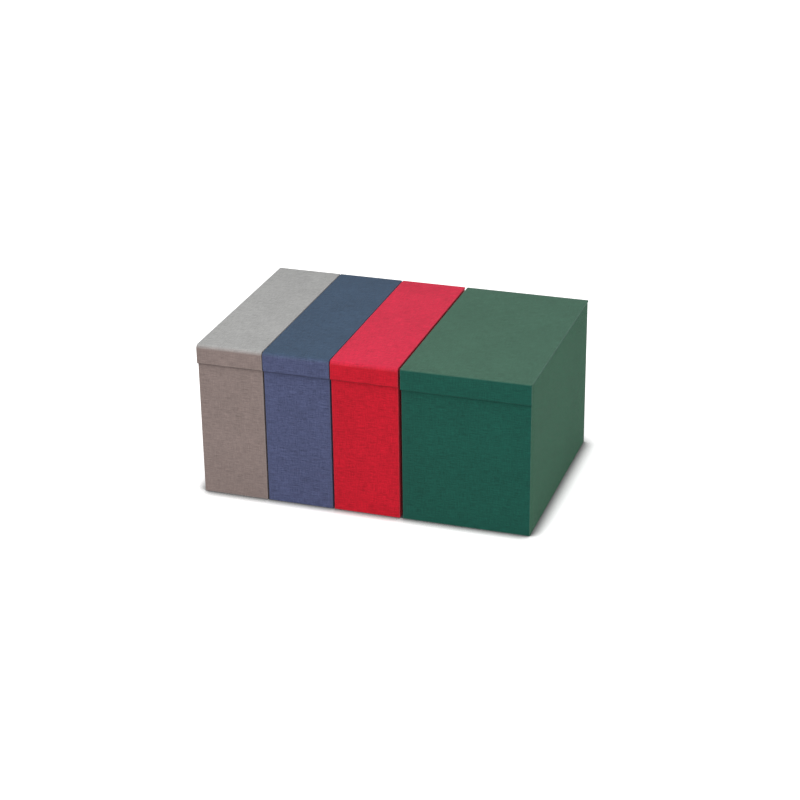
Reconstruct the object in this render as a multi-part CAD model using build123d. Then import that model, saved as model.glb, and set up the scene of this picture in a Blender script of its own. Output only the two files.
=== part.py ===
from build123d import *
import os
from dataclasses import dataclass

os.makedirs("parts", exist_ok=True)

# Four lidded file boxes of cloth-covered board that stand in a row, in millimetres.
# X runs along the row, the fronts face -Y and Z is up. The origin lies under the middle of the row.

# Closed sizes, over the cloth
CLOSED_HEIGHT = 267.0
CLOSED_DEPTH = 376.5
NARROW_WIDTH = 114.5
WIDE_WIDTH = 216.0
NARROW_LIP_HEIGHT = 33.5
WIDE_LIP_HEIGHT = 36.5
NARROW_BEND_RADIUS = 7.0
WIDE_BEND_RADIUS = 2.6
NARROW_OVERHANG = 0.7
WIDE_OVERHANG = 1.0
EDGE_RADIUS = 1.0
LEAST_RADIUS = 0.05

# Spaces between the lids in the row
GREY_BLUE_GAP = 1.2
BLUE_RED_GAP = 1.6
RED_GREEN_GAP = 3.6

# Sheets that each box is made of
WALL_BOARD = 3.0
BASE_BOARD = 3.0
LID_BOARD = 2.0
CLOTH = 0.6
LINING = 0.4
STAY_TAPE = 0.25

# How the sheets lap and how the lid sits
LIP_CLEARANCE = 0.4
SEAT_CLEARANCE = 0.3
RIM_TURN_IN = 16.0
BASE_TURN_IN = 15.0
LID_TURN_IN = 14.0
STAY_LEG = 18.0
HINGE_DROP = 45.0
HINGE_INSET = 3.0

# Places that every box shares
FRONT = -CLOSED_DEPTH / 2
REAR = CLOSED_DEPTH / 2
LID_THICKNESS = CLOTH + LID_BOARD + CLOTH
LID_UNDERSIDE = CLOSED_HEIGHT - LID_THICKNESS
RIM = LID_UNDERSIDE - SEAT_CLEARANCE
BODY_DEPTH = (FRONT + LID_THICKNESS + LIP_CLEARANCE, REAR - CLOTH)
BODY_HEIGHT = (0.0, RIM)


def inset(span, amount):
    """A span of coordinates with the same amount taken off both ends."""
    return (span[0] + amount, span[1] - amount)


def slab(x, y, z):
    """A block between three spans of coordinates."""
    spans = (x, y, z)
    size = [high - low for low, high in spans]
    centre = [(high + low) / 2 for low, high in spans]
    return Pos(*centre) * Box(*size)


def bent_sheet(x, front, rear, top, lip_bottom, thickness, radius):
    """A sheet that lies flat and bends down at its front, with the outer radius given.

    Its inner bend is left sharp where the radius there would be next to nothing.
    """
    outline = Polyline(
        (front, lip_bottom),
        (front, top),
        (rear, top),
        (rear, top - thickness),
        (front + thickness, top - thickness),
        (front + thickness, lip_bottom),
        close=True,
    )
    sheet = Pos(x[0], 0, 0) * extrude(Plane.YZ * make_face(outline), x[1] - x[0])
    middle = (x[0] + x[1]) / 2
    along = sheet.edges().filter_by(Axis.X)
    outer = along.sort_by_distance((middle, front, top))[0]
    sheet = fillet(outer, radius)
    inner_radius = radius - thickness
    if inner_radius > LEAST_RADIUS:
        along = sheet.edges().filter_by(Axis.X)
        inner = along.sort_by_distance((middle, front + thickness, top - thickness))[0]
        sheet = fillet(inner, inner_radius)
    return sheet


@dataclass
class FileBox:
    """The sizes and places of one box of the row."""

    name: str
    lid_width: float
    lip_height: float
    bend_radius: float
    overhang: float
    left: float

    @property
    def lid_x(self):
        return (self.left, self.left + self.lid_width)

    @property
    def body_x(self):
        return inset(self.lid_x, self.overhang)

    @property
    def lip_bottom(self):
        return CLOSED_HEIGHT - self.lip_height

    @property
    def rim_radius(self):
        """The rounding of the front rim, which follows the inside of the lid's bend."""
        return max(self.bend_radius - LID_THICKNESS - LIP_CLEARANCE, EDGE_RADIUS)

    @property
    def boards(self):
        """The block that the outer faces of the boards fill."""
        return (inset(self.body_x, CLOTH), inset(BODY_DEPTH, CLOTH), inset(BODY_HEIGHT, CLOTH))

    @property
    def inside(self):
        """The block between the walls, over the whole height of the boards."""
        x, y, z = self.boards
        return (inset(x, WALL_BOARD), inset(y, WALL_BOARD), z)


def rounded_block(x, y, z, radius):
    """A block whose upper front edge is rounded."""
    block = slab(x, y, z)
    along = block.edges().filter_by(Axis.X)
    upper_front = along.sort_by_distance(((x[0] + x[1]) / 2, y[0], z[1]))[0]
    return fillet(upper_front, radius)


def walls_block(box):
    """The block that the walls are cut from."""
    return rounded_block(*box.boards, box.rim_radius - CLOTH)


def side_boards(box):
    """The two long walls, which run the whole depth."""
    x, y, z = box.boards
    block = walls_block(box)
    left = block & slab((x[0], x[0] + WALL_BOARD), y, z)
    right = block & slab((x[1] - WALL_BOARD, x[1]), y, z)
    return {"left_board": left, "right_board": right}


def end_boards(box):
    """The front and back walls, which fit between the long ones."""
    x, _, z = box.inside
    _, y, _ = box.boards
    front = walls_block(box) & slab(x, (y[0], y[0] + WALL_BOARD), z)
    back = slab(x, (y[1] - WALL_BOARD, y[1]), z)
    return {"front_board": front, "back_board": back}


def base_board(box):
    """The floor, which fits between the four walls."""
    x, y, z = box.inside
    return {"base_board": slab(x, y, (z[0], z[0] + BASE_BOARD))}


def corner_stays(box):
    """Strips of tape round the outside of the four upright corners, under the cloth."""
    x, y, z = box.boards
    z = (z[0], z[1] - box.rim_radius)
    wrap = slab(inset(x, -STAY_TAPE), inset(y, -STAY_TAPE), z) - slab(x, y, z)
    leg = STAY_LEG + STAY_TAPE
    stays = []
    for corner_x in (x[0] - STAY_TAPE, x[1] + STAY_TAPE - leg):
        for corner_y in (y[0] - STAY_TAPE, y[1] + STAY_TAPE - leg):
            post = slab((corner_x, corner_x + leg), (corner_y, corner_y + leg), z)
            stays += (wrap & post).solids()
    return {"corner_stays": Compound(children=stays)}


def body_cloth(box, stays):
    """The cloth round the walls, turned in over the rim and under the base."""
    outer = rounded_block(box.body_x, BODY_DEPTH, BODY_HEIGHT, box.rim_radius)
    uprights = outer.edges().filter_by(Axis.Z)
    around_base = outer.edges().group_by(Axis.Z)[0]
    outer = fillet(uprights + around_base, EDGE_RADIUS)
    x, y, z = box.inside
    turn_in_foot = z[1] - RIM_TURN_IN
    skirt = slab(x, y, (turn_in_foot, RIM))
    mouth = slab(inset(x, CLOTH), inset(y, CLOTH), (turn_in_foot, RIM))
    cloth = (outer - walls_block(box)) + skirt - mouth - underside_block(box)
    for stay in stays.solids():
        cloth -= stay
    return cloth


def underside_block(box):
    """The space inside the turned-in cloth under the base."""
    x = inset(box.body_x, BASE_TURN_IN)
    y = inset(BODY_DEPTH, BASE_TURN_IN)
    return slab(x, y, (0.0, CLOTH))


def body_lining(box):
    """The paper tray that lines the walls below the turned-in cloth, and the floor."""
    x, y, z = box.inside
    height = (z[0] + BASE_BOARD, z[1] - RIM_TURN_IN)
    hollow = slab(inset(x, LINING), inset(y, LINING), (height[0] + LINING, height[1]))
    return slab(x, y, height) - hollow


def body_parts(box):
    """Everything that stays put when the lid opens."""
    parts = {}
    parts |= side_boards(box)
    parts |= end_boards(box)
    parts |= base_board(box)
    parts |= corner_stays(box)
    parts["body_cloth"] = body_cloth(box, parts["corner_stays"])
    parts["body_lining"] = body_lining(box)
    parts["base_paper"] = underside_block(box)
    strip = (RIM - HINGE_DROP, LID_UNDERSIDE - SEAT_CLEARANCE / 2)
    parts["hinge_cloth"] = slab(inset(box.body_x, HINGE_INSET), (REAR - CLOTH, REAR), strip)
    return parts


def lid_boards(box):
    """The flat lid panel, and the lip that is bent down from it in front."""
    x = inset(box.lid_x, CLOTH)
    front = FRONT + CLOTH
    radius = box.bend_radius - CLOTH
    top = CLOSED_HEIGHT - CLOTH
    whole = bent_sheet(x, front, REAR - CLOTH, top, box.lip_bottom + CLOTH, LID_BOARD, radius)
    joint = front + max(radius, LID_BOARD)
    ahead = slab(x, (FRONT, joint), (box.lip_bottom, CLOSED_HEIGHT))
    return whole, {"lid_board": whole - ahead, "lip_board": whole & ahead}


def lid_lining(box, boards):
    """The paper under the lid and behind the lip, inside the turned-in cloth."""
    front = FRONT + CLOTH
    top = CLOSED_HEIGHT - CLOTH
    radius = box.bend_radius - CLOTH
    x = inset(box.lid_x, LID_TURN_IN)
    y = (FRONT, REAR - LID_TURN_IN)
    z = (box.lip_bottom + LID_TURN_IN, CLOSED_HEIGHT)
    backed = bent_sheet(x, front, REAR, top, box.lip_bottom, LID_BOARD + CLOTH, radius)
    return (backed - boards) & slab(x, y, z)


def lid_cloth(box, boards, lining):
    """The cloth over the lid and its lip, turned in underneath."""
    outer = bent_sheet(
        box.lid_x, FRONT, REAR, CLOSED_HEIGHT, box.lip_bottom, LID_THICKNESS, box.bend_radius
    )
    for side in box.lid_x:
        face = outer.faces().filter_by(Axis.X).sort_by_distance((side, REAR, CLOSED_HEIGHT))[0]
        rounded = [
            edge
            for edge in face.edges()
            if not within_sheet(edge.position_at(0.5), box)
        ]
        outer = fillet(rounded, EDGE_RADIUS)
    return outer - boards - lining


def within_sheet(point, box):
    """True for a point on the underside, the back of the lip, the rear edge or the lip's foot."""
    half = LID_THICKNESS / 2
    low = point.Z < CLOSED_HEIGHT - half
    behind = point.Y > FRONT + half
    foot = point.Z < box.lip_bottom + EDGE_RADIUS
    rear = point.Y > REAR - EDGE_RADIUS
    bend = point.Y < FRONT + box.bend_radius and point.Z > CLOSED_HEIGHT - box.bend_radius
    on_outer_bend = abs(
        (Vector(0, point.Y, point.Z) - bend_centre(box)).length - box.bend_radius
    ) < EDGE_RADIUS / 2
    if bend:
        return not on_outer_bend
    return (low and behind) or foot or rear


def bend_centre(box):
    """The centre of the lid's front bend, seen from the side."""
    return Vector(0, FRONT + box.bend_radius, CLOSED_HEIGHT - box.bend_radius)


def lid_parts(box):
    """Everything that swings up with the lid."""
    boards, parts = lid_boards(box)
    parts["lid_lining"] = lid_lining(box, boards)
    parts["lid_cloth"] = lid_cloth(box, boards, parts["lid_lining"])
    return parts


def row_of_boxes():
    """The four boxes, from left to right."""
    narrow = (NARROW_WIDTH, NARROW_LIP_HEIGHT, NARROW_BEND_RADIUS, NARROW_OVERHANG)
    wide = (WIDE_WIDTH, WIDE_LIP_HEIGHT, WIDE_BEND_RADIUS, WIDE_OVERHANG)
    order = [
        ("grey", narrow, GREY_BLUE_GAP),
        ("blue", narrow, BLUE_RED_GAP),
        ("red", narrow, RED_GREEN_GAP),
        ("green", wide, 0.0),
    ]
    left = -sum(sizes[0] + gap for _, sizes, gap in order) / 2
    boxes = []
    for name, sizes, gap in order:
        boxes.append(FileBox(name, *sizes, left))
        left += sizes[0] + gap
    return boxes


for file_box in row_of_boxes():
    for part, shape in (body_parts(file_box) | lid_parts(file_box)).items():
        export_step(shape, f"parts/{file_box.name}_{part}.step")
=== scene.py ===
import math

import bmesh
import bpy
from mathutils import Matrix, Vector, noise

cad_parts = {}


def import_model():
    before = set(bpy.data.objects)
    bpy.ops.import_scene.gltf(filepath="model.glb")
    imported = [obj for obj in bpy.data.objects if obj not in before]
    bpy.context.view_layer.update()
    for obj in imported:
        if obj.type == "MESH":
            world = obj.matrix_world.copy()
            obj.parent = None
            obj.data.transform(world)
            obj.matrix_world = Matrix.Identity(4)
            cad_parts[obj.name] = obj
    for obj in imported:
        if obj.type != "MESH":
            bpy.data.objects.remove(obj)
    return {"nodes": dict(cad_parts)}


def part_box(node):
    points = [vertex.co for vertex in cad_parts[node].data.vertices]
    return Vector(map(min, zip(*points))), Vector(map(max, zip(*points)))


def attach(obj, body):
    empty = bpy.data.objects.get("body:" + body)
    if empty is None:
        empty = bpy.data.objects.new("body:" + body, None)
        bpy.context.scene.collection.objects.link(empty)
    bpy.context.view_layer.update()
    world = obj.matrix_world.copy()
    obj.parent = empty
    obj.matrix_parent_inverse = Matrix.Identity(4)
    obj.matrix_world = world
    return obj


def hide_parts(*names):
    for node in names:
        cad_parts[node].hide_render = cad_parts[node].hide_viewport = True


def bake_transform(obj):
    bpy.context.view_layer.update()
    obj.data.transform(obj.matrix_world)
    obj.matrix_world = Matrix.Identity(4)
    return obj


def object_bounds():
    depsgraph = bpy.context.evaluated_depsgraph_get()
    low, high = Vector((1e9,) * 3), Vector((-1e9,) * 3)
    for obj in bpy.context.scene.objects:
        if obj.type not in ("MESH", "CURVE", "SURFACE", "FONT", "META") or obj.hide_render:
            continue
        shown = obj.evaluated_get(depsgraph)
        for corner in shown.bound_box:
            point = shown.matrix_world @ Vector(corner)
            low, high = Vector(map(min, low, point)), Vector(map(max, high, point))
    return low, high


# Four cloth-covered file boxes in a row, in metres, dressed on the frame's own places.
MM = 0.001

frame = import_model()
cad_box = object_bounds()

NAMES = ("grey", "blue", "red", "green")


def thickness(node, axis):
    """How thick a node is along an axis: 0 for X, 1 for Y, 2 for Z."""
    low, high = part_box(node)
    return high[axis] - low[axis]


# Thicknesses of the sheets, read from the frame
CLOTH = thickness("green_hinge_cloth", 1)
WALL_BOARD = thickness("green_left_board", 0)
LID_BOARD = thickness("green_lid_board", 2)
WALL = CLOTH + WALL_BOARD + CLOTH
LID = CLOTH + LID_BOARD + CLOTH
PAPER = 0.4 * MM

# Laps of the cloth and paper, the taper at a turn-in's foot and how far the lid's lining stands out
BASE_TURN_IN = 15.0 * MM
RIM_TURN_IN = 16.0 * MM
TURN_IN_TAPER = 0.3 * MM
LINING_LAP = 8.0 * MM
LINING_PROUD = 0.15 * MM

# The hinge strip: how far it stands out on the lid, its bare edges and the height that flexes
HINGE_PROUD = 0.3 * MM
HINGE_BACK_GAP = 0.05 * MM
HINGE_TOP_GAP = 0.5 * MM
HINGE_THINNED = 0.2 * MM
FLEX_STEP = 0.25 * MM
FLEX_STEPS = 10
FLEX_REACH = FLEX_STEP * FLEX_STEPS
CLIMB = 2.0 * MM

# Roundings: a box's edges, the edges inside the lid's cloth, the rim's inner edge and the lids' bends
EDGE = 1.0 * MM
ROOM_EDGE = 0.4 * MM
RIM_INNER_EDGE = 0.8 * MM
LEAST_BEND = 0.5 * MM
LEAST_CORNER = 0.3 * MM
LEAST_BOARD_EDGE = 0.2 * MM
PAPER_CORNER = 0.5 * MM
BEND = {"grey": 7.0 * MM, "blue": 7.0 * MM, "red": 7.0 * MM, "green": 2.6 * MM}
LIP_CLEARANCE = 0.4 * MM

# A lid's edges in section and the flats at its ends, as multiples of its end rounding
SHEET_CORNER = 1.2
END_FACE = 1.1

# How near to an axis a normal lies where a face is flat, how little it leans, and a hair's breadth
FLAT = 0.99
SLIGHT = 0.05
HAIR = 0.01 * MM

# Numbers of steps along runs and round turns
WALL_STEPS = 14
PLAN_STEPS = 16
LID_STEPS = 26
SLICE_STEPS = 16
LIP_STEPS = 6
LIP_BACK_STEPS = 5
BEND_STEPS = 12
INNER_BEND_STEPS = 5
RIM_STEPS = 5
EDGE_STEPS = 4
FOOT_STEPS = 3
PAPER_STEPS = 10
PAPER_CORNER_STEPS = 2
LID_PAPER_STEPS = 20
HINGE_STEPS = 14

# How far walls and lids stand out of true, the waves' length in metres and their lean inward
BOW = 0.45 * MM
BOW_LENGTH = 0.16
BOW_INWARD = 0.35
WARP = 0.5 * MM
WARP_LENGTH = 0.12
WARP_INWARD = 0.45
LID_SEED = 11.0
SIDE_SEED_X = 3.0
SIDE_SEED_Y = 5.0
SEED_SHIFT = (7.31, 3.17, 5.53)

# Wear of the edges from 0 to 1, painted shade at the lips' feet and how far along a face both reach
WEAR_REACH = 0.7 * MM
RIM_WEAR = 0.8
INNER_RIM_WEAR = 0.5
BEND_WEAR = 0.35
LIP_PAINTED_SHADE = 0.5
WIDE_LIP_PAINTED_SHADE = 0.15

# The cloth's threads in metres, and its slubs, grain, mottling, rubbing and ripples per metre
THREAD = 0.62 * MM
SHIFT_U = 0.137
SHIFT_V = 0.211
SLUB_ACROSS = 900.0
SLUB_ALONG = 55.0
GRAIN = 420.0
MOTTLE = 16.0
RUB = 230.0
RIPPLE = 38.0

# How much each of them changes the shade
SLUB_SHADE = 1.1
UPRIGHT_SLUBS = 0.75
LEVEL_SLUBS = 1.25
GRAIN_SHADE = 0.9
MOTTLE_SHADE = 0.35
WEAVE_SHADE = 0.28

# How high each of them stands, and the strength and depth of the cloth's relief and ripples
WEAVE_HEIGHT = 0.55
SLUB_HEIGHT = 0.6
GRAIN_HEIGHT = 0.5
RELIEF_STRENGTH = 0.55
RELIEF_DEPTH = 0.16 * MM
RIPPLE_STRENGTH = 0.5
RIPPLE_DEPTH = 0.35 * MM

# The cloth's gloss, its roughness and how much the grain adds to it, and its sheen
CLOTH_GLOSS = 0.10
CLOTH_ROUGHNESS = 0.61
GRAIN_ROUGHNESS = 0.22
SHEEN = 0.04
SHEEN_ROUGHNESS = 0.5

# Where painted top light and sheen start as a face turns up, where a side's painted lit tone starts,
# and rubbed tones and the painted shade's dark tone
LIT_TOP_FROM = 0.05
LIT_SIDE_FROM = 0.7
RUB_STRENGTH = 1.6
RUBBED_LIFT = 0.12
RUBBED_GAIN = 1.6
PAINTED_SHADE_GAIN = 0.1

# The floor: size and place, shades, glow to the camera, where it grows, and the painted contact
# shadow
FLOOR_SIZE = 8.0
FLOOR_DROP = 0.2 * MM
FLOOR_SHADE = 0.93
FLOOR_LIFT = 0.40
FLOOR_CLEAR_AT = 0.8
FLOOR_CLEAR_RATE = 0.5
CONTACT_REACH = 0.027
CONTACT_SHADE = 0.10

# The strength of the surroundings as light
AMBIENT = 0.68

# The camera, fitted to the corners of the boxes in the photograph, for an image of 800 pixels
IMAGE_PIXELS = 800
FOCAL_PIXELS = 1988.9
SENSOR = 36.0
AZIMUTH = math.radians(18.578)
ELEVATION = math.radians(24.178)
ROLL = math.radians(-0.751)
DISTANCE = 3.37544
PAN_RIGHT = 0.00356
PAN_UP = -0.00875


def span(node):
    """The lowest and highest corner of a node, as two vectors."""
    low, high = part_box(node)
    return Vector(low), Vector(high)


def arc(centre, radius, start, end, steps):
    """Points and outward normals on an arc in a plane, angles in degrees."""
    out = []
    for i in range(steps + 1):
        a = math.radians(start + (end - start) * i / steps)
        n = (math.cos(a), math.sin(a))
        out.append(((centre[0] + radius * n[0], centre[1] + radius * n[1]), n))
    return out


def line(a, b, steps):
    """Points strictly between a and b."""
    return [
        (a[0] + (b[0] - a[0]) * i / steps, a[1] + (b[1] - a[1]) * i / steps)
        for i in range(1, steps)
    ]


def steps_of(degrees, steps, first=1):
    """Angles from near 0 up to the given one, in radians."""
    return [math.radians(degrees * i / steps) for i in range(first, steps + 1)]


def hump(share):
    """A rounded rise that is 0 at both ends of a length and 1 in its middle."""
    return math.sin(math.pi * min(max(share, 0.0), 1.0))


def swell(point, seed, scale):
    """A slow, smooth, repeatable wave between about -1 and 1."""
    shift = Vector([seed * part for part in SEED_SHIFT])
    return noise.noise(Vector(point) / scale + shift, noise_basis="PERLIN_NEW")


def make_object(name, verts, faces, wear_and_shade=None, exposed=None):
    """A mesh object from points and faces, with optional wear and painted shade, and exposure, for
    each point.
    """
    mesh = bpy.data.meshes.new(name)
    mesh.from_pydata([tuple(v) for v in verts], [], faces)
    mesh.validate()
    bm = bmesh.new()
    bm.from_mesh(mesh)
    bmesh.ops.recalc_face_normals(bm, faces=bm.faces)
    bm.to_mesh(mesh)
    bm.free()
    mesh.polygons.foreach_set("use_smooth", [True] * len(mesh.polygons))
    mesh.set_sharp_from_angle(angle=math.radians(40))
    for label, values in (("wear_and_shade", wear_and_shade), ("exposed", exposed)):
        if values is not None:
            mesh.attributes.new(label, "FLOAT", "POINT").data.foreach_set("value", values)
    obj = bpy.data.objects.new(name, mesh)
    bpy.context.scene.collection.objects.link(obj)
    return obj


def grid_faces(rings, count, close_rings):
    """Quads between neighbouring closed rings of the same number of points."""
    faces = []
    last = rings if close_rings else rings - 1
    for i in range(last):
        near, far = i * count, (i + 1) % rings * count
        for k in range(count):
            m = (k + 1) % count
            faces.append((near + k, near + m, far + m, far + k))
    return faces


def capped_faces(rings, count):
    """Quads between neighbouring rings, and one face over each end."""
    faces = grid_faces(rings, count, False)
    last = (rings - 1) * count
    faces.append(tuple(range(count)))
    faces.append(tuple(last + k for k in range(count)))
    return faces


def plan_ring(low, high, inset, z, corner, side_steps, corner_steps=EDGE_STEPS):
    """A rounded rectangle in plan, inset from the outer one, with a normal at each point."""
    x0, x1 = low.x + inset, high.x - inset
    y0, y1 = low.y + inset, high.y - inset
    r = max(corner - inset, LEAST_CORNER)
    centres = [
        (x1 - r, y0 + r, -90),
        (x1 - r, y1 - r, 0),
        (x0 + r, y1 - r, 90),
        (x0 + r, y0 + r, 180),
    ]
    points = []
    for i, (cx, cy, start) in enumerate(centres):
        turn = arc((cx, cy), r, start, start + 90, corner_steps)
        points += turn
        nx, ny, next_start = centres[(i + 1) % 4]
        a = turn[-1][0]
        n = turn[-1][1]
        b = arc((nx, ny), r, next_start, next_start, 1)[0][0]
        points += [(p, n) for p in line(a, b, side_steps)]
    return [(Vector((p[0], p[1], z)), Vector((n[0], n[1], 0.0))) for p, n in points]


def wall_section(rim, rim_round):
    """The cloth's section round a wall: how far in from the outside, height and wear."""
    foot = rim - CLOTH - RIM_TURN_IN
    section = [(BASE_TURN_IN, 0.0, 0.0), (EDGE + WEAR_REACH, 0.0, 0.0), (EDGE, 0.0, 1.0)]
    section += [
        (EDGE - EDGE * math.sin(a), EDGE - EDGE * math.cos(a), 1.0)
        for a in steps_of(90, EDGE_STEPS)
    ]
    wall_foot, wall_top = EDGE + WEAR_REACH, rim - rim_round - WEAR_REACH
    section += [(0.0, wall_foot, 0.0)]
    section += [(d, z, 0.0) for d, z in line((0.0, wall_foot), (0.0, wall_top), WALL_STEPS)]
    section += [(0.0, wall_top, 0.0)]
    section += [
        (rim_round - rim_round * math.cos(a), rim - rim_round + rim_round * math.sin(a), RIM_WEAR)
        for a in steps_of(90, RIM_STEPS, first=0)
    ]
    inner = RIM_INNER_EDGE
    section += [
        (WALL - inner + inner * math.sin(a), rim - inner + inner * math.cos(a), INNER_RIM_WEAR)
        for a in steps_of(90, EDGE_STEPS, first=0)
    ]
    section += [(WALL, foot + 0.5 * (rim - foot), 0.0), (WALL, foot + LEAST_BOARD_EDGE, 0.0)]
    section += [(WALL - TURN_IN_TAPER, foot, 0.0), (CLOTH + WALL_BOARD, foot, 0.0)]
    top_corner = max(rim_round - CLOTH, LEAST_BOARD_EDGE)
    section += [(CLOTH + WALL_BOARD, rim - CLOTH, 0.0), (CLOTH + top_corner, rim - CLOTH, 0.0)]
    section += [(CLOTH, rim - CLOTH - top_corner, 0.0), (CLOTH, CLOTH, 0.0)]
    section += [(BASE_TURN_IN, CLOTH, 0.0)]
    return section


def bow(p, n, low, high, seed):
    """How far a wall's middle stands in or out of true, none at its edges."""
    if abs(n.x) > FLAT:
        u = (p.y - low.y) / (high.y - low.y)
    elif abs(n.y) > FLAT:
        u = (p.x - low.x) / (high.x - low.x)
    else:
        return 0.0
    v = (p.z - low.z) / (high.z - low.z)
    side = seed + SIDE_SEED_X * n.x + SIDE_SEED_Y * n.y
    return hump(u) * hump(v) * BOW * (swell((p.x, p.y, p.z), side, BOW_LENGTH) - BOW_INWARD)


def body_wrap(name, seed):
    """The cloth round a box's walls, turned in over the rim and under the base."""
    low, high = span(f"{name}_body_cloth")
    sides = wall_section(high.z, EDGE)
    front = wall_section(high.z, max(BEND[name] - LID - LIP_CLEARANCE, EDGE))
    verts, wear_and_shade, exposed = [], [], []
    count = 0
    for (d, z, worn_and_shaded), (front_d, front_z, _) in zip(sides, front):
        ring = plan_ring(low, high, d, z, EDGE, PLAN_STEPS)
        count = len(ring)
        for p, n in ring:
            at_corner = abs(n.x) > SLIGHT and abs(n.y) > SLIGHT and d < EDGE
            if d < HAIR:
                p = p + n * bow(p, n, low, high, seed)
            facing = max(0.0, -n.y)
            p = p - n * (front_d - d) * facing + Vector((0.0, 0.0, (front_z - z) * facing))
            verts.append(p)
            wear_and_shade.append(1.0 if at_corner else worn_and_shaded)
            exposed.append(1.0 if d < EDGE and z < high.z - EDGE else 0.0)
    faces = grid_faces(len(sides), count, True)
    obj = make_object(f"{name}_body_wrap", verts, faces, wear_and_shade, exposed)
    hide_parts(f"{name}_body_cloth")
    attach(obj, f"{name}_box")
    return obj


def lid_outline(low, high, lip_foot, thickness, bend, corner, inner):
    """The lid's section as (y, z) points with outward normals, round the whole closed outline."""
    front, rear, top = low.y, high.y, high.z
    under = top - thickness
    back_of_lip = front + thickness
    points = []
    points += arc((rear - corner, top - corner), corner, 0, 90, EDGE_STEPS)
    across_top = line((rear - corner, top), (front + bend, top), LID_STEPS)
    points += [(p, (0.0, 1.0)) for p in across_top]
    points += arc((front + bend, top - bend), bend, 90, 180, BEND_STEPS)
    above_foot = (front, lip_foot + corner + WEAR_REACH)
    points += [(p, (-1.0, 0.0)) for p in line((front, top - bend), above_foot, LIP_STEPS)]
    points += [(above_foot, (-1.0, 0.0))]
    points += arc((front + corner, lip_foot + corner), corner, 180, 270, EDGE_STEPS)
    points += arc((back_of_lip - corner, lip_foot + corner), corner, 270, 360, FOOT_STEPS)
    up_back = line((back_of_lip, lip_foot + corner), (back_of_lip, under - inner), LIP_BACK_STEPS)
    points += [(p, (1.0, 0.0)) for p in up_back]
    hollow = arc((back_of_lip + inner, under - inner), inner, 180, 90, INNER_BEND_STEPS)
    points += [(p, (-n[0], -n[1])) for p, n in hollow]
    across_under = line((back_of_lip + inner, under), (rear - corner, under), LID_STEPS)
    points += [(p, (0.0, -1.0)) for p in across_under]
    points += arc((rear - corner, under + corner), corner, -90, 0, FOOT_STEPS)
    return points


def lid_slices(low, high, edge, steps):
    """X places of the lid's sections and how far each is drawn in, rounded at both ends."""
    turn = steps_of(90, EDGE_STEPS, first=0)
    cap = edge * END_FACE
    near, far = low.x + edge + WEAR_REACH, high.x - edge - WEAR_REACH
    ends = [(low.x, cap)]
    ends += [
        (low.x + edge - edge * math.sin(a), edge - edge * math.cos(a)) for a in reversed(turn)
    ]
    inner = [(x, 0.0) for x, _ in line((near, 0), (far, 0), steps)]
    inner = [(near, 0.0)] + inner + [(far, 0.0)]
    other = [(high.x - edge + edge * math.sin(a), edge - edge * math.cos(a)) for a in turn]
    return ends + inner + other + [(high.x, cap)]


def lid_warp(p, low, high, on_top, seed):
    """How far the lid's outer face dips, none at its edges."""
    u = (p.x - low.x) / (high.x - low.x)
    v = (p.y - low.y) / (high.y - low.y) if on_top else (p.z - low.z) / (high.z - low.z)
    wave = swell((p.x, p.y, p.z), seed + LID_SEED, WARP_LENGTH) - WARP_INWARD
    return WARP * (hump(u) * hump(v)) * wave


def lid_shell(low, high, lip_foot, thickness, bend, edge, seed, warp):
    """Points, faces, wear with painted shade, and exposure of a closed bent sheet with rounded edges.
    """
    inner = max(bend - thickness, LEAST_BEND)
    corner = edge * SHEET_CORNER
    outline = lid_outline(low, high, lip_foot, thickness, bend, corner, inner)
    slices = lid_slices(low, high, edge, SLICE_STEPS)
    # Painted shade: how dark the lip's foot is painted, standing in for the shadow under the lip,
    # less on the wide lid
    lip_shade = LIP_PAINTED_SHADE if bend > 2 * LID else WIDE_LIP_PAINTED_SHADE
    verts, wear_and_shade, exposed = [], [], []
    for x, drawn in slices:
        for (y, z), (ny, nz) in outline:
            p = Vector((x, y - ny * drawn, z - nz * drawn))
            if warp and (nz > FLAT or ny < -FLAT):
                p += Vector((0, ny, nz)) * lid_warp(p, low, high, nz > FLAT, seed)
            verts.append(p)
            worn_and_shaded = 1.0 if drawn > HAIR else 0.0
            if ny < -SLIGHT and nz > SLIGHT:
                worn_and_shaded = BEND_WEAR
            # Painted shade: the cloth at the lip's foot is marked below 0, darkened where the lip's
            # shadow falls
            if ny < -SLIGHT and nz < SLIGHT and z < lip_foot + corner + HAIR:
                worn_and_shaded = -lip_shade
            if z > high.z - EDGE and y > high.y - EDGE:
                worn_and_shaded = 1.0
            wear_and_shade.append(worn_and_shaded)
            exposed.append(1.0 if nz > SLIGHT or ny < -SLIGHT else 0.0)
    return verts, capped_faces(len(slices), len(outline)), wear_and_shade, exposed


def lid_wrap(name, seed):
    """The cloth over a lid and its lip: an outer skin and, inside it, the room for the boards."""
    low, high = span(f"{name}_lid_cloth")
    foot, bend = low.z, BEND[name]
    verts, faces, wear_and_shade, exposed = lid_shell(low, high, foot, LID, bend, EDGE, seed, True)
    skin = Vector((CLOTH, CLOTH, CLOTH))
    low, high = low + skin, high - skin
    foot, bend = foot + CLOTH, bend - CLOTH
    room = lid_shell(low, high, foot, LID_BOARD, bend, ROOM_EDGE, seed, False)
    offset = len(verts)
    verts += room[0]
    faces += [tuple(offset + i for i in face) for face in room[1]]
    wear_and_shade += [0.0] * len(room[0])
    exposed += [0.0] * len(room[0])
    obj = make_object(f"{name}_lid_wrap", verts, faces, wear_and_shade, exposed)
    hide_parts(f"{name}_lid_cloth")
    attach(obj, f"{name}_lid")
    return obj


def swept(outline, start, end, steps):
    """Points and faces of a closed (y, z) outline drawn along X."""
    verts = []
    for i in range(steps + 1):
        x = start + (end - start) * i / steps
        verts += [Vector((x, y, z)) for y, z in outline]
    return verts, capped_faces(steps + 1, len(outline))


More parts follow.
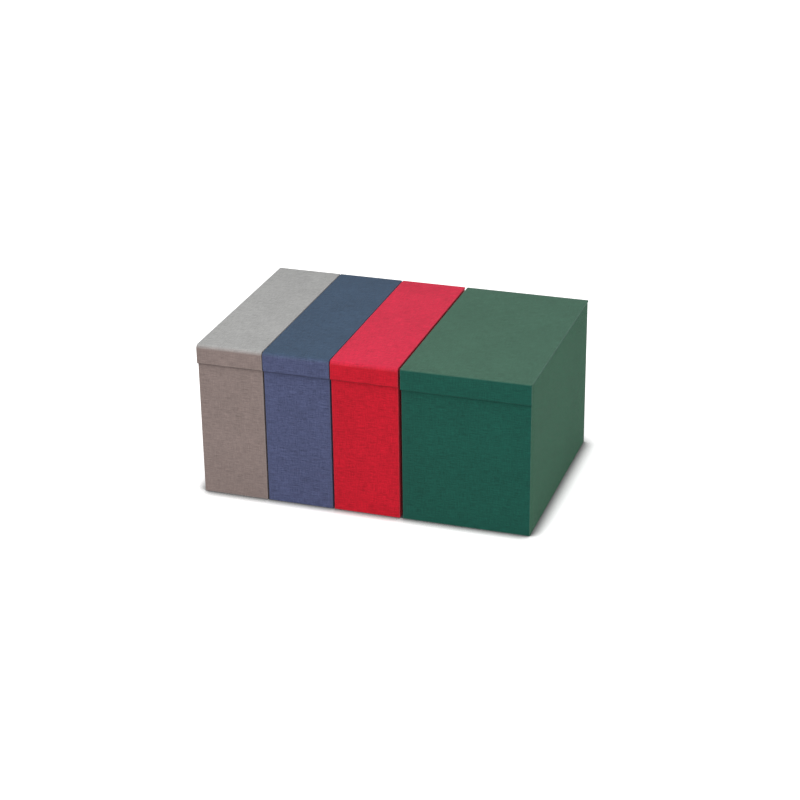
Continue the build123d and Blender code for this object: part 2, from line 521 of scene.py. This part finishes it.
def lid_paper(name):
    """The paper that lines a lid and the back of its lip, laid over the turned-in cloth."""
    low, high = span(f"{name}_lid_lining")
    lid_low, lid_high = span(f"{name}_lid_cloth")
    bend = max(BEND[name] - LID, LEAST_BEND)
    under = lid_high.z - LID
    back = lid_low.y + LID
    path = [(back, low.z)]
    path += line((back, low.z), (back, under - bend), FOOT_STEPS)
    path += [p for p, _ in arc((back + bend, under - bend), bend, 180, 90, INNER_BEND_STEPS)]
    path += line((back + bend, under), (high.y, under), LID_PAPER_STEPS)
    path += [(high.y, under)]
    normals = []
    for i in range(len(path)):
        a, b = path[max(i - 1, 0)], path[min(i + 1, len(path) - 1)]
        t = Vector((b[0] - a[0], b[1] - a[1])).normalized()
        normals.append((t.y, -t.x))
    pairs = list(zip(path, normals))
    outline = [(p[0] + n[0] * LINING_PROUD, p[1] + n[1] * LINING_PROUD) for p, n in pairs]
    outline += [(p[0] - n[0] * PAPER, p[1] - n[1] * PAPER) for p, n in reversed(pairs)]
    verts, faces = swept(outline, low.x, high.x, PAPER_STEPS)
    obj = make_object(f"{name}_lid_paper", verts, faces)
    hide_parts(f"{name}_lid_lining")
    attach(obj, f"{name}_lid")
    return obj


def body_paper(name):
    """The paper tray inside a box, lapped over the foot of the turned-in cloth."""
    low, high = span(f"{name}_body_lining")
    floor, lap = low.z, high.z
    edge = lap + LINING_LAP
    folded = CLOTH + PAPER * 0.6
    behind_low, behind_high = lap - 1.0 * MM, lap + 0.5 * MM
    front_low, front_high = lap - 1.4 * MM, lap + 0.3 * MM
    fillet, fillet_end, fillet_depth = 1.2 * MM, 1.4 * MM, 0.2 * MM
    profile = [(0.0, floor), (0.0, behind_low), (CLOTH, behind_high), (CLOTH, edge)]
    profile += [(folded, edge), (folded, front_high), (PAPER, front_low)]
    run = line((0, front_low), (0, floor + fillet), PAPER_STEPS)
    profile += [(PAPER, z) for _, z in run]
    profile += [(PAPER, floor + fillet)]
    profile += [(PAPER + fillet_depth, floor + PAPER + fillet_depth), (fillet_end, floor + PAPER)]
    verts, count = [], 0
    for d, z in profile:
        ring = plan_ring(low, high, d, z, PAPER_CORNER, PAPER_STEPS, PAPER_CORNER_STEPS)
        count = len(ring)
        verts += [p for p, _ in ring]
    faces = capped_faces(len(profile), count)
    obj = make_object(f"{name}_body_paper", verts, faces)
    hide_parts(f"{name}_body_lining")
    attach(obj, f"{name}_box")
    return obj


def hinge_strip(name):
    """The strip of cloth glued to the back wall and the lid's rear edge, which flexes between."""
    low, high = span(f"{name}_hinge_cloth")
    _, lid_high = span(f"{name}_lid_cloth")
    back, outer = low.y, lid_high.y
    flex, top = high.z, lid_high.z - HINGE_TOP_GAP
    above_foot, below_top = low.z + 0.4 * MM, top - 0.3 * MM
    heights = [low.z, above_foot]
    heights += [z for _, z in line((0, above_foot), (0, flex - FLEX_REACH), PAPER_STEPS)]
    heights += [flex + FLEX_STEP * step for step in range(-FLEX_STEPS, FLEX_STEPS + 1)]
    heights += [below_top, top]
    outline, inner = [], []
    for i, z in enumerate(heights):
        climb = min(max((z - flex) / CLIMB + 1.0, 0.0), 1.0)
        thin = HINGE_THINNED if i in (0, len(heights) - 1) else 0.0
        outline.append((outer + climb * HINGE_PROUD - thin, z))
        inner.append((back + HINGE_BACK_GAP + climb * (outer - back), z))
    outline += reversed(inner)
    verts, faces = swept(outline, low.x, high.x, HINGE_STEPS)
    obj = make_object(f"{name}_hinge_strip", verts, faces)
    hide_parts(f"{name}_hinge_cloth")
    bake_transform(obj)
    return obj


class Nodes:
    """Adds and joins the nodes of one material or world, which it empties first."""

    def __init__(self, owner):
        owner.use_nodes = True
        self.owner = owner
        self.tree = owner.node_tree
        self.tree.nodes.clear()

    def add(self, kind, **settings):
        node = self.tree.nodes.new(kind)
        for key, value in settings.items():
            setattr(node, key, value)
        return node

    def join(self, source, target):
        self.tree.links.new(source, target)

    def put(self, value, target):
        """Sets an input to a number or a colour, or joins an output to it."""
        if isinstance(value, (int, float)):
            target.default_value = value
        elif isinstance(value, tuple):
            target.default_value = (*value, 1.0)
        else:
            self.join(value, target)

    def math(self, operation, a, b=None, clamp=False):
        node = self.add("ShaderNodeMath", operation=operation, use_clamp=clamp)
        self.put(a, node.inputs[0])
        if b is not None:
            self.put(b, node.inputs[1])
        return node.outputs[0]

    def mix(self, factor, a, b):
        node = self.add("ShaderNodeMix", data_type="RGBA")
        self.put(factor, node.inputs[0])
        self.put(a, node.inputs[6])
        self.put(b, node.inputs[7])
        return node.outputs[2]

    def noise(self, vector, scale, detail=2.0, roughness=0.5):
        node = self.add("ShaderNodeTexNoise")
        node.inputs["Scale"].default_value = scale
        node.inputs["Detail"].default_value = detail
        node.inputs["Roughness"].default_value = roughness
        self.join(vector, node.inputs["Vector"])
        return node.outputs["Fac"]

    def ranged(self, value, source, target):
        """A value carried over from one range to another, and held inside it."""
        node = self.add("ShaderNodeMapRange")
        for label, number in zip(("From Min", "From Max", "To Min", "To Max"), source + target):
            node.inputs[label].default_value = number
        self.join(value, node.inputs["Value"])
        return node.outputs[0]

    def weighted(self, value, weight, middle=0.0):
        """How far a value lies from a middle, times a weight."""
        away = self.math("SUBTRACT", value, middle) if middle else value
        return self.math("MULTIPLY", away, weight)

    def choose(self, where, a, b):
        """The first value where the switch is 1, and the second where it is 0."""
        other = self.math("MULTIPLY", b, self.math("SUBTRACT", 1.0, where))
        return self.math("ADD", self.math("MULTIPLY", a, where), other)

    def stretched(self, u, along_u, v, along_v, third):
        """A place for noise, with its own scale along each of two directions."""
        node = self.add("ShaderNodeCombineXYZ")
        self.put(self.math("MULTIPLY", u, along_u), node.inputs[0])
        self.put(self.math("MULTIPLY", v, along_v), node.inputs[1])
        self.put(third, node.inputs[2])
        return node.outputs[0]

    def flat_coordinates(self):
        """Two coordinates in the plane that the surface mostly faces, in metres."""
        place = self.add("ShaderNodeTexCoord")
        point = self.add("ShaderNodeSeparateXYZ")
        normal = self.add("ShaderNodeSeparateXYZ")
        self.join(place.outputs["Object"], point.inputs[0])
        self.join(place.outputs["Normal"], normal.inputs[0])
        ax, ay, az = (self.math("ABSOLUTE", normal.outputs[i]) for i in range(3))
        side = self.math("GREATER_THAN", ax, self.math("MAXIMUM", ay, az))
        top = self.math("GREATER_THAN", az, self.math("MAXIMUM", ax, ay))
        x, y, z = point.outputs
        return self.choose(side, y, x), self.choose(top, y, z), place.outputs["Object"]

    def bump(self, height, strength, depth, under=None):
        """A relief of the surface, on top of another one where that is given."""
        node = self.add("ShaderNodeBump")
        node.inputs["Strength"].default_value = strength
        node.inputs["Distance"].default_value = depth
        self.join(height, node.inputs["Height"])
        if under is not None:
            self.join(under, node.inputs["Normal"])
        return node.outputs["Normal"]

    def principled(self, colour, roughness, gloss, normal):
        node = self.add("ShaderNodeBsdfPrincipled")
        self.join(colour, node.inputs["Base Color"])
        self.join(roughness, node.inputs["Roughness"])
        node.inputs["Specular IOR Level"].default_value = gloss
        self.join(normal, node.inputs["Normal"])
        return node

    def matt(self, shade):
        """A matt grey surface."""
        node = self.add("ShaderNodeBsdfDiffuse")
        self.put((shade, shade, shade), node.inputs["Color"])
        return node.outputs[0]

    def finish(self, surface):
        """Ends a material with its surface, and returns it."""
        self.join(surface, self.add("ShaderNodeOutputMaterial").inputs["Surface"])
        return self.owner


def scaled(colour, factor):
    """A colour made lighter or darker."""
    return tuple(min(channel * factor, 1.0) for channel in colour)


def woven(m, u, v):
    """The height of a plain weave, whose upright and level threads take turns on top."""
    across, along = m.math("DIVIDE", u, THREAD), m.math("DIVIDE", v, THREAD)
    cells = m.math("ADD", m.math("FLOOR", across), m.math("FLOOR", along))
    odd = m.math("GREATER_THAN", m.math("FLOORED_MODULO", cells, 2.0), 0.5)
    upright = m.math("SINE", m.math("MULTIPLY", m.math("FRACT", across), math.pi))
    level = m.math("SINE", m.math("MULTIPLY", m.math("FRACT", along), math.pi))
    return m.choose(odd, upright, level)


def slubbed(m, u, v, seed):
    """The uneven thickness of the upright and level threads, about 1 on average."""
    upright = m.noise(m.stretched(u, SLUB_ACROSS, v, SLUB_ALONG, seed), 1.0)
    level = m.noise(m.stretched(u, SLUB_ALONG, v, SLUB_ACROSS, seed + 4.0), 1.0)
    return m.math("ADD", m.weighted(upright, UPRIGHT_SLUBS), m.weighted(level, LEVEL_SLUBS))


def cloth_tone(m, colour, lit_top_colour, lit_side_tone):
    """The dye's colour, with painted top light and sheen where an outer face looks up, and a painted
    lit tone on a side if given.
    """
    facing = m.add("ShaderNodeSeparateXYZ")
    m.join(m.add("ShaderNodeTexCoord").outputs["Normal"], facing.inputs[0])
    exposed = m.add("ShaderNodeAttribute", attribute_name="exposed").outputs["Fac"]
    upward = m.ranged(facing.outputs[2], (LIT_TOP_FROM, 1.0), (0.0, 1.0))
    # Painted light: outer faces that look up take a lit copy of the colour, standing in for top light
    # and sheen
    tone = m.mix(m.math("MULTIPLY", exposed, upward), colour, lit_top_colour)
    if lit_side_tone:
        # Painted light: an outer wall facing +X takes a lighter, lit copy of the colour
        sideways = m.math("GREATER_THAN", facing.outputs[0], LIT_SIDE_FROM)
        tone = m.mix(m.math("MULTIPLY", exposed, sideways), tone, lit_side_tone)
    return tone


def cloth_material(name, colour, lit_top_colour, seed, contrast=0.30, wear_amount=0.12, lit_side_tone=None):
    """Book cloth: a plain weave with uneven threads, mottled dye, paler worn edges, painted shade at
    the lips' feet and painted top light and sheen on upward faces.

    Where a lit side tone is given, it is a painted lighter colour, as if lit, on a wall that faces +X
    and stands in the open.
    """
    m = Nodes(bpy.data.materials.new(name))
    u, v, place = m.flat_coordinates()
    u, v = m.math("ADD", u, seed * SHIFT_U), m.math("ADD", v, seed * SHIFT_V)
    weave, slubs = woven(m, u, v), slubbed(m, u, v, seed)
    grain = m.noise(place, GRAIN, 3.0, 0.65)
    mottle = m.noise(place, MOTTLE, 3.0, 0.55)

    shade = m.math("ADD", m.weighted(slubs, SLUB_SHADE, 1.0), 0.5)
    shade = m.math("ADD", shade, m.weighted(grain, GRAIN_SHADE, 0.5))
    shade = m.math("ADD", shade, m.weighted(mottle, MOTTLE_SHADE, 0.5))
    shade = m.math("ADD", shade, m.weighted(weave, WEAVE_SHADE, 0.6), clamp=True)
    dyed = m.add("ShaderNodeVectorMath", operation="SCALE")
    m.join(cloth_tone(m, colour, lit_top_colour, lit_side_tone), dyed.inputs[0])
    strength = m.math("ADD", m.weighted(shade, 2 * contrast), 1 - contrast)
    m.join(strength, dyed.inputs["Scale"])

    # The wear attribute holds real edge wear above 0 and painted shade at the lips' feet below 0
    worn_and_shaded = m.add("ShaderNodeAttribute", attribute_name="wear_and_shade").outputs["Fac"]
    rub = m.weighted(m.noise(place, RUB, 4.0, 0.7), wear_amount * RUB_STRENGTH)
    rubbed = m.math("MULTIPLY", worn_and_shaded, rub, clamp=True)
    pale = scaled([channel + RUBBED_LIFT for channel in lit_top_colour], RUBBED_GAIN)
    # Painted shade: below 0 the cloth turns towards a dark copy of its colour, standing in for the
    # shadow under the lips
    painted_shade = m.math("MULTIPLY", worn_and_shaded, -1.0, clamp=True)
    tint = m.mix(painted_shade, m.mix(rubbed, dyed.outputs[0], pale), scaled(colour, PAINTED_SHADE_GAIN))

    relief = m.math("ADD", m.weighted(weave, WEAVE_HEIGHT), m.weighted(slubs, SLUB_HEIGHT))
    relief = m.math("ADD", relief, m.weighted(grain, GRAIN_HEIGHT))
    ripples = m.bump(m.noise(place, RIPPLE), RIPPLE_STRENGTH, RIPPLE_DEPTH)
    normal = m.bump(relief, RELIEF_STRENGTH, RELIEF_DEPTH, ripples)
    rough = m.math("ADD", CLOTH_ROUGHNESS, m.weighted(grain, GRAIN_ROUGHNESS))
    shader = m.principled(tint, rough, CLOTH_GLOSS, normal)
    shader.inputs["Sheen Weight"].default_value = SHEEN
    shader.inputs["Sheen Roughness"].default_value = SHEEN_ROUGHNESS
    return m.finish(shader.outputs[0])


def sheet_material(name, colour, dark, fleck, scale, rough, relief):
    """Board, tape or paper: pressed fibres with flecks and slow variation in tone."""
    m = Nodes(bpy.data.materials.new(name))
    place = m.add("ShaderNodeTexCoord").outputs["Object"]
    cloud = m.noise(place, scale * 0.06, 3.0, 0.6)
    fibre = m.noise(place, scale, 5.0, 0.7)
    spots = m.noise(place, scale * 2.3, 1.0, 0.4)
    tone = m.math("ADD", m.weighted(cloud, 0.5), m.weighted(fibre, 0.6), clamp=True)
    flecked = m.weighted(m.math("GREATER_THAN", spots, 0.68), 0.5)
    tint = m.mix(flecked, m.mix(tone, dark, colour), fleck)
    roughness = m.math("ADD", rough, m.weighted(fibre, 0.15))
    shader = m.principled(tint, roughness, 0.3, m.bump(fibre, 0.4, relief))
    return m.finish(shader.outputs[0])


def paint(obj, material):
    """Gives an object one material in its first slot."""
    if obj.data.materials:
        for i in range(len(obj.data.materials)):
            obj.data.materials[i] = material
    else:
        obj.data.materials.append(material)


# Each cloth: its colour, a lit copy painted on upward faces for top light and sheen, and a seed
cloths = {
    "grey": cloth_material("grey_bookcloth", (0.203, 0.158, 0.146), (0.290, 0.290, 0.285), 1.0),
    "blue": cloth_material(
        "blue_bookcloth", (0.060, 0.071, 0.142), (0.032, 0.058, 0.099), 2.0, contrast=0.45
    ),
    "red": cloth_material(
        "red_bookcloth", (0.430, 0.006, 0.018), (0.487, 0.013, 0.043), 3.0, contrast=0.40
    ),
    "green": cloth_material(
        "green_bookcloth",
        (0.0064, 0.0664, 0.0483),
        (0.038, 0.098, 0.065),
        4.0,
        contrast=0.34,
        wear_amount=0.18,
        # painted light: the green box's +X side, lit paler than its front
        lit_side_tone=(0.018, 0.095, 0.050),
    ),
}
board = sheet_material(
    "grey_board",
    colour=(0.42, 0.38, 0.31),
    dark=(0.27, 0.24, 0.20),
    fleck=(0.16, 0.14, 0.12),
    scale=700.0,
    rough=0.85,
    relief=0.2 * MM,
)
tape = sheet_material(
    "kraft_tape",
    colour=(0.50, 0.36, 0.20),
    dark=(0.36, 0.25, 0.13),
    fleck=(0.25, 0.17, 0.10),
    scale=500.0,
    rough=0.6,
    relief=0.08 * MM,
)
lining = sheet_material(
    "lining_paper",
    colour=(0.74, 0.71, 0.64),
    dark=(0.60, 0.57, 0.50),
    fleck=(0.50, 0.46, 0.38),
    scale=600.0,
    rough=0.75,
    relief=0.06 * MM,
)
under_paper = sheet_material(
    "base_paper",
    colour=(0.055, 0.055, 0.055),
    dark=(0.030, 0.030, 0.030),
    fleck=(0.12, 0.12, 0.12),
    scale=600.0,
    rough=0.7,
    relief=0.06 * MM,
)

CAD_MATERIALS = {
    "left_board": board,
    "right_board": board,
    "front_board": board,
    "back_board": board,
    "base_board": board,
    "lid_board": board,
    "lip_board": board,
    "corner_stays": tape,
    "base_paper": under_paper,
}

for number, box_name in enumerate(NAMES):
    for part, finish in CAD_MATERIALS.items():
        paint(frame["nodes"][f"{box_name}_{part}"], finish)
    seed = 1.0 + number
    paint(body_wrap(box_name, seed), cloths[box_name])
    paint(lid_wrap(box_name, seed), cloths[box_name])
    paint(lid_paper(box_name), lining)
    paint(body_paper(box_name), lining)
    paint(hinge_strip(box_name), cloths[box_name])


def floor_material():
    """Plain white with a glow to the camera alone, and a painted shadow, seen by the camera alone,
    close to what stands on it.
    """
    m = Nodes(bpy.data.materials.new("floor_white"))
    seen = m.add("ShaderNodeLightPath").outputs["Is Camera Ray"]
    away = m.add("ShaderNodeVectorMath", operation="LENGTH")
    m.join(m.add("ShaderNodeTexCoord").outputs["Object"], away.inputs[0])
    beyond = m.math("SUBTRACT", away.outputs["Value"], FLOOR_CLEAR_AT, clamp=True)
    glow = m.math("ADD", m.weighted(beyond, FLOOR_CLEAR_RATE), FLOOR_LIFT)
    lift = m.add("ShaderNodeEmission")
    m.put((1.0, 1.0, 1.0), lift.inputs["Color"])
    m.join(m.math("MULTIPLY", seen, glow), lift.inputs["Strength"])
    white = m.add("ShaderNodeAddShader")
    m.join(m.matt(FLOOR_SHADE), white.inputs[0])
    m.join(lift.outputs[0], white.inputs[1])
    # Painted shadow: the camera sees the floor darkened close to the boxes, by ambient occlusion
    near = m.add("ShaderNodeAmbientOcclusion", samples=12)
    near.inputs["Distance"].default_value = CONTACT_REACH
    clear = m.math("MULTIPLY", m.math("SUBTRACT", near.outputs["AO"], 0.5), 2.0, clamp=True)
    clear = m.math("MAXIMUM", clear, m.math("SUBTRACT", 1.0, seen))
    both = m.add("ShaderNodeMixShader")
    m.join(clear, both.inputs[0])
    m.join(m.matt(CONTACT_SHADE), both.inputs[1])
    m.join(white.outputs[0], both.inputs[2])
    return m.finish(both.outputs[0])


def floor():
    """A plain white surface, with the boxes' soft shadows and a narrow painted contact shadow."""
    half = FLOOR_SIZE / 2
    mesh = bpy.data.meshes.new("floor")
    corners = [(-half, -half, 0), (half, -half, 0), (half, half, 0), (-half, half, 0)]
    mesh.from_pydata(corners, [], [(0, 1, 2, 3)])
    obj = bpy.data.objects.new("floor", mesh)
    obj.location.z = -FLOOR_DROP
    bpy.context.scene.collection.objects.link(obj)
    obj.data.materials.append(floor_material())


def world():
    """Even white surroundings: plain white where seen or mirrored, softer as light."""
    w = Nodes(bpy.data.worlds.new("studio"))
    bpy.context.scene.world = w.owner
    rays = w.add("ShaderNodeLightPath").outputs
    mirrored = w.math("MAXIMUM", rays["Is Glossy Ray"], rays["Is Transmission Ray"])
    seen = w.math("MAXIMUM", rays["Is Camera Ray"], mirrored)
    background = w.add("ShaderNodeBackground")
    w.put((1.0, 1.0, 1.0), background.inputs["Color"])
    strength = w.ranged(seen, (0.0, 1.0), (AMBIENT, 1.0))
    w.join(strength, background.inputs["Strength"])
    w.join(background.outputs[0], w.add("ShaderNodeOutputWorld").inputs["Surface"])


def area_light(name, place, aim, size, power, colour=(1.0, 1.0, 1.0)):
    """A soft square lamp that points at a place."""
    data = bpy.data.lights.new(name, "AREA")
    data.size = size
    data.energy = power
    data.color = colour
    obj = bpy.data.objects.new(name, data)
    obj.location = place
    obj.rotation_euler = (Vector(aim) - Vector(place)).to_track_quat("-Z", "Y").to_euler()
    bpy.context.scene.collection.objects.link(obj)


def camera():
    """The photograph's view of the row."""
    centre = Vector((0.0, 0.0, cad_box[1][2] / 2))
    away = math.cos(ELEVATION)
    back = Vector((math.sin(AZIMUTH) * away, -math.cos(AZIMUTH) * away, math.sin(ELEVATION)))
    level = Vector((math.cos(AZIMUTH), math.sin(AZIMUTH), 0.0))
    lift = back.cross(level)
    right = math.cos(ROLL) * level + math.sin(ROLL) * lift
    up = -math.sin(ROLL) * level + math.cos(ROLL) * lift
    data = bpy.data.cameras.new("camera")
    data.sensor_width = SENSOR
    data.lens = FOCAL_PIXELS / IMAGE_PIXELS * SENSOR
    data.clip_end = 50.0
    obj = bpy.data.objects.new("camera", data)
    place = centre + right * PAN_RIGHT + up * PAN_UP + back * DISTANCE
    turn = Matrix((right, up, back)).transposed()
    obj.matrix_world = Matrix.Translation(place) @ turn.to_4x4()
    bpy.context.scene.collection.objects.link(obj)
    bpy.context.scene.camera = obj


floor()
world()
camera()
area_light("top_light", (0.1, -0.8, 1.9), (0.0, 0.0, 0.1), 1.8, 29.0)
area_light("front_fill", (-0.9, -2.6, 1.4), (0.0, 0.0, 0.12), 2.0, 10.2, (1.0, 0.98, 0.96))
bpy.context.scene.view_settings.view_transform = "Standard"
